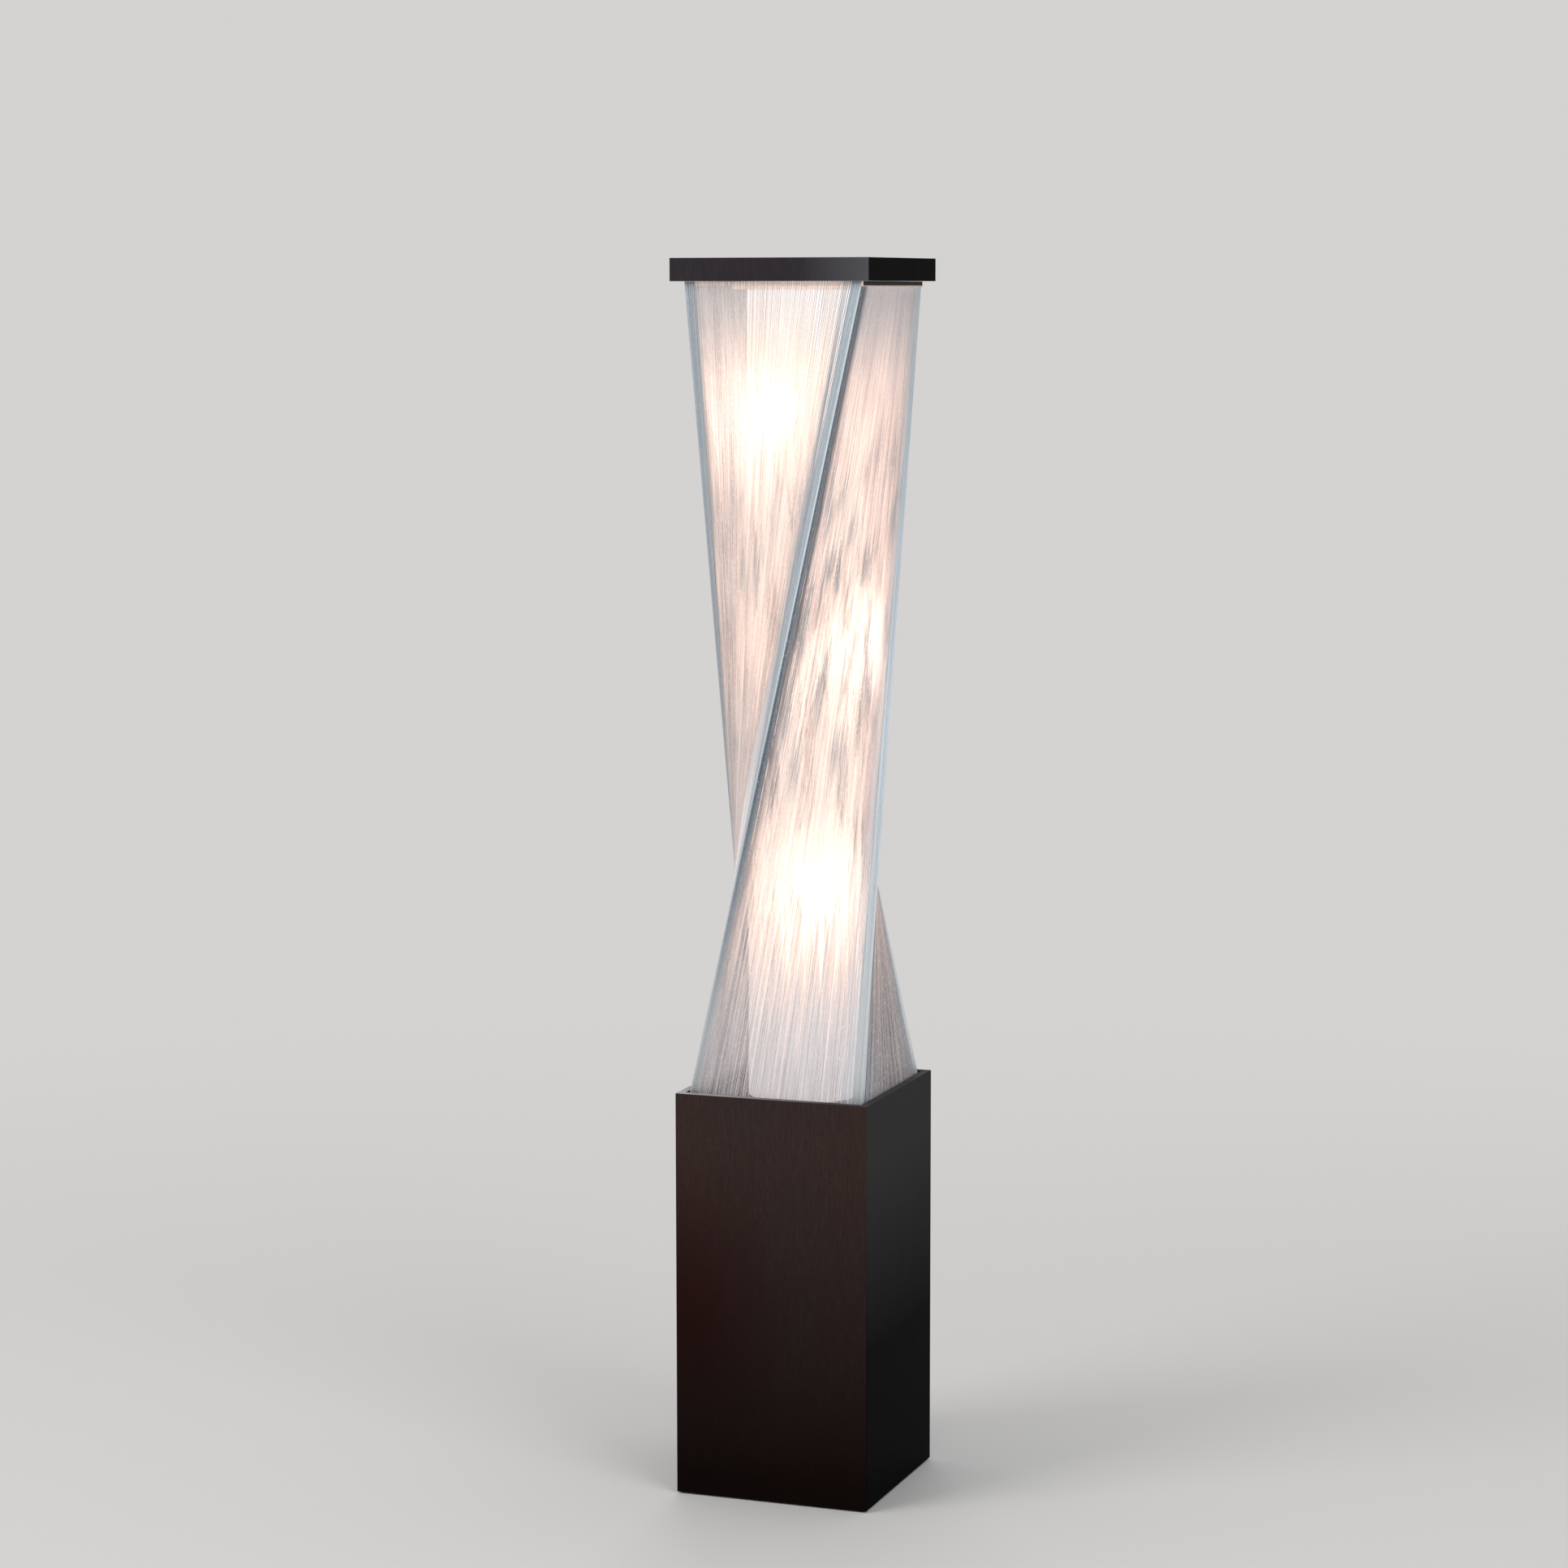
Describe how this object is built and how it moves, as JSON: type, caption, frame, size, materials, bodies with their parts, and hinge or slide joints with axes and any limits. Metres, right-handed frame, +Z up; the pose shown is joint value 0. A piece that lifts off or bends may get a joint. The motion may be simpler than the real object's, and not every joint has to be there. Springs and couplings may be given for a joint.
{
  "type": "floor lamp",
  "caption": "Square floor lamp: an open box base, a column of straight strings twisted a quarter turn round a frosted tube with bulbs inside, and a flat square cap.",
  "frame": {"origin": "bottom centre of the base, on the floor", "axes": "+Z up, -Y out of the base's front panel, +X out of its right panel"},
  "size_m": [0.254, 0.254, 1.53],
  "materials": {
    "lacquered_wood": "dark espresso lacquer, satin",
    "lacquered_cap": "charcoal black lacquer, satin",
    "plain_board": "raw board",
    "white_board": "white, matt",
    "ballast": "raw cast",
    "steel_plate": "dark grey, satin",
    "zinc": "zinc plated",
    "black_metal": "black, satin",
    "brass": "bright rolled",
    "rubber": "matt",
    "black_plastic": "matt",
    "porcelain": "white glaze",
    "bulb_glass": "opal white, lit",
    "frosted_tube": "frosted, satin",
    "string": "silver grey string",
    "string_edge": "steel blue string, dense"
  },
  "bodies": {
    "stand": {"base_front_panel": "lacquered_wood", "base_right_panel": "lacquered_wood", "base_back_panel": "lacquered_wood", "base_left_panel": "lacquered_wood", "base_floor_board": "plain_board", "ballast_plate": "ballast", "foot_front_left": "rubber", "corner_block_front_left": "plain_board", "plate_screw_front_left": "zinc", "string_corner_front_left": "string_edge", "foot_front_right": "rubber", "corner_block_front_right": "plain_board", "plate_screw_front_right": "zinc", "string_corner_front_right": "string_edge", "foot_back_right": "rubber", "corner_block_back_right": "plain_board", "plate_screw_back_right": "zinc", "string_corner_back_right": "string_edge", "foot_back_left": "rubber", "corner_block_back_left": "plain_board", "plate_screw_back_left": "zinc", "string_corner_back_left": "string_edge", "cord_inlet_gland": "black_plastic", "cord_inlet_nut": "black_plastic", "lower_string_plate": "steel_plate", "centre_pole": "zinc", "pole_nut_bottom": "zinc", "pole_nut_seat": "zinc", "pole_nut_under_bar": "zinc", "pole_nut_top": "zinc", "diffuser_tube": "frosted_tube", "diffuser_seat_disc": "white_board", "socket_arm_top": "zinc", "arm_nut_below_top": "zinc", "arm_nut_above_top": "zinc", "socket_top": "porcelain", "socket_arm_middle": "zinc", "arm_nut_below_middle": "zinc", "arm_nut_above_middle": "zinc", "socket_middle": "porcelain", "socket_arm_bottom": "zinc", "arm_nut_below_bottom": "zinc", "arm_nut_above_bottom": "zinc", "socket_bottom": "porcelain", "string_wall_front": "string", "string_wall_right": "string", "string_wall_back": "string", "string_wall_left": "string", "top_string_plate": "black_metal", "top_cross_bar": "black_metal"},
    "cap": {"cap_plate": "lacquered_cap", "cap_locating_frame": "plain_board"},
    "screw_cap_top": {"screw_cap_top": "brass"},
    "bulb_top": {"bulb_glass_top": "bulb_glass"},
    "screw_cap_middle": {"screw_cap_middle": "brass"},
    "bulb_middle": {"bulb_glass_middle": "bulb_glass"},
    "screw_cap_bottom": {"screw_cap_bottom": "brass"},
    "bulb_bottom": {"bulb_glass_bottom": "bulb_glass"}
  },
  "joints": [
    {"name": "cap_lift", "type": "slide", "parent": "stand", "child": "cap", "axis": [0, 0, 1], "range_m": [0, 0.06]},
    {"name": "bulb_top_lift", "type": "slide", "parent": "stand", "child": "screw_cap_top", "axis": [0, 0, 1], "range_m": [0, 0.01089]},
    {"name": "bulb_top_turn", "type": "hinge", "parent": "screw_cap_top", "child": "bulb_top", "pos_m": [-0.02545, -0.02545, 1.35009], "axis": [0, 0, 1], "range_deg": [0, 1080]},
    {"name": "bulb_middle_lift", "type": "slide", "parent": "stand", "child": "screw_cap_middle", "axis": [0, 0, 1], "range_m": [0, 0.01089]},
    {"name": "bulb_middle_turn", "type": "hinge", "parent": "screw_cap_middle", "child": "bulb_middle", "pos_m": [0.02545, 0.02545, 1.05497], "axis": [0, 0, 1], "range_deg": [0, 1080]},
    {"name": "bulb_bottom_lift", "type": "slide", "parent": "stand", "child": "screw_cap_bottom", "axis": [0, 0, 1], "range_m": [0, 0.01089]},
    {"name": "bulb_bottom_turn", "type": "hinge", "parent": "screw_cap_bottom", "child": "bulb_bottom", "pos_m": [0.02545, -0.02545, 0.75986], "axis": [0, 0, 1], "range_deg": [0, 1080]}
  ],
  "couplings": [
    {"joint": "bulb_top_turn", "follows": "bulb_top_lift", "rad_per_m": 1730.9},
    {"joint": "bulb_middle_turn", "follows": "bulb_middle_lift", "rad_per_m": 1730.9},
    {"joint": "bulb_bottom_turn", "follows": "bulb_bottom_lift", "rad_per_m": 1730.9}
  ]
}
